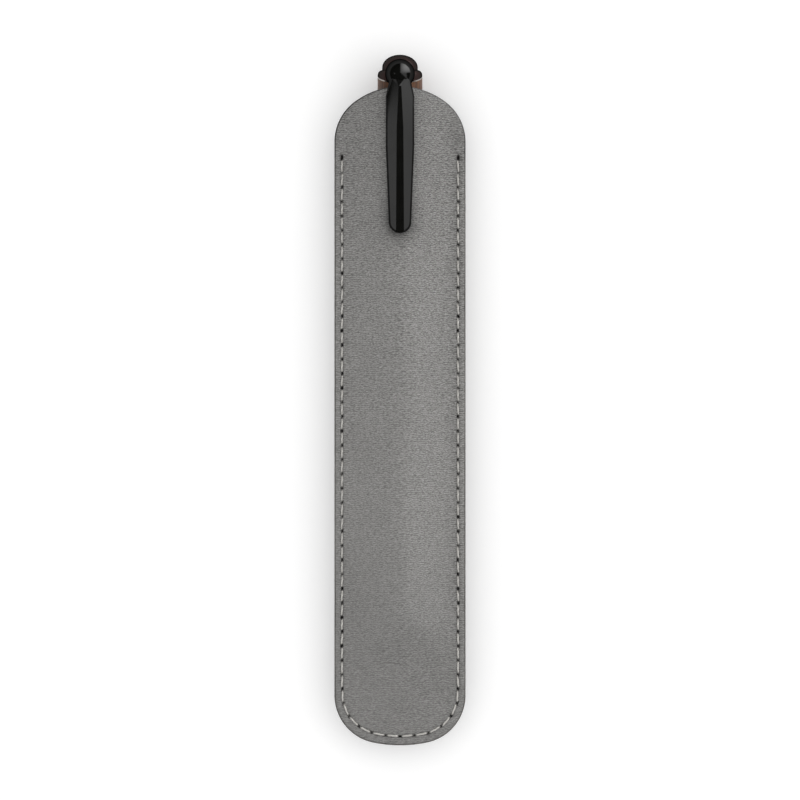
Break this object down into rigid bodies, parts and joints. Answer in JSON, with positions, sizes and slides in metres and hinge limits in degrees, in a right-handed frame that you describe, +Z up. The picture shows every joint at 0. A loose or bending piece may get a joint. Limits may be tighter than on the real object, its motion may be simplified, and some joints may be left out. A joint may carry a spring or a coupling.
{
  "type": "single pen sleeve",
  "caption": "Slim sewn leather sleeve with a domed mouth, holding a closed pen whose clip hooks over the front.",
  "frame": {"origin": "on the table, under the middle of the whole length, with the sleeve lying on its back", "axes": "+X across the sleeve, +Y along it towards the mouth, +Z up out of the front"},
  "size_m": [0.0328, 0.1728, 0.0166],
  "materials": {
    "grained_leather": "matt, fine grain",
    "thread": "waxed",
    "edge_dressing": "satin",
    "brown_wood": "oiled",
    "dark_resin": "polished",
    "black_lacquer": "gloss lacquer",
    "polished_steel": "polished",
    "liner_plastic": "moulded",
    "grip_resin": "polished",
    "nib_steel": "fine polish",
    "cartridge_plastic": "clear moulded"
  },
  "bodies": {
    "sleeve": {"front_panel": "grained_leather", "back_panel": "grained_leather", "needle_thread": "thread", "bobbin_thread": "thread", "seam_edge_paint": "edge_dressing", "front_mouth_edge_paint": "edge_dressing", "back_mouth_edge_paint": "edge_dressing"},
    "barrel": {"barrel_tube": "brown_wood", "barrel_end": "dark_resin"},
    "section": {"grip_section": "grip_resin", "section_ring": "polished_steel", "feed": "liner_plastic", "nib": "nib_steel", "ink_cartridge": "cartridge_plastic"},
    "cap": {"cap_tube": "brown_wood", "cap_finial": "dark_resin", "cap_ring": "polished_steel", "cap_band": "polished_steel", "inner_cap": "liner_plastic"},
    "clip": {"clip": "black_lacquer"}
  },
  "joints": [
    {"name": "pen_slide", "type": "slide", "parent": "sleeve", "child": "barrel", "axis": [0, 1, 0], "range_m": [0, 0.14]},
    {"name": "section_pull", "type": "slide", "parent": "barrel", "child": "section", "axis": [0, 1, 0], "range_m": [0, 0.048]},
    {"name": "cap_pull", "type": "slide", "parent": "section", "child": "cap", "axis": [0, 1, 0], "range_m": [0, 0.052]},
    {"name": "clip_flex", "type": "hinge", "parent": "cap", "child": "clip", "pos_m": [0, 0.08145, 0.01295], "axis": [-1, 0, 0], "range_deg": [0, 5], "stiffness_Nm_per_rad": 1}
  ]
}
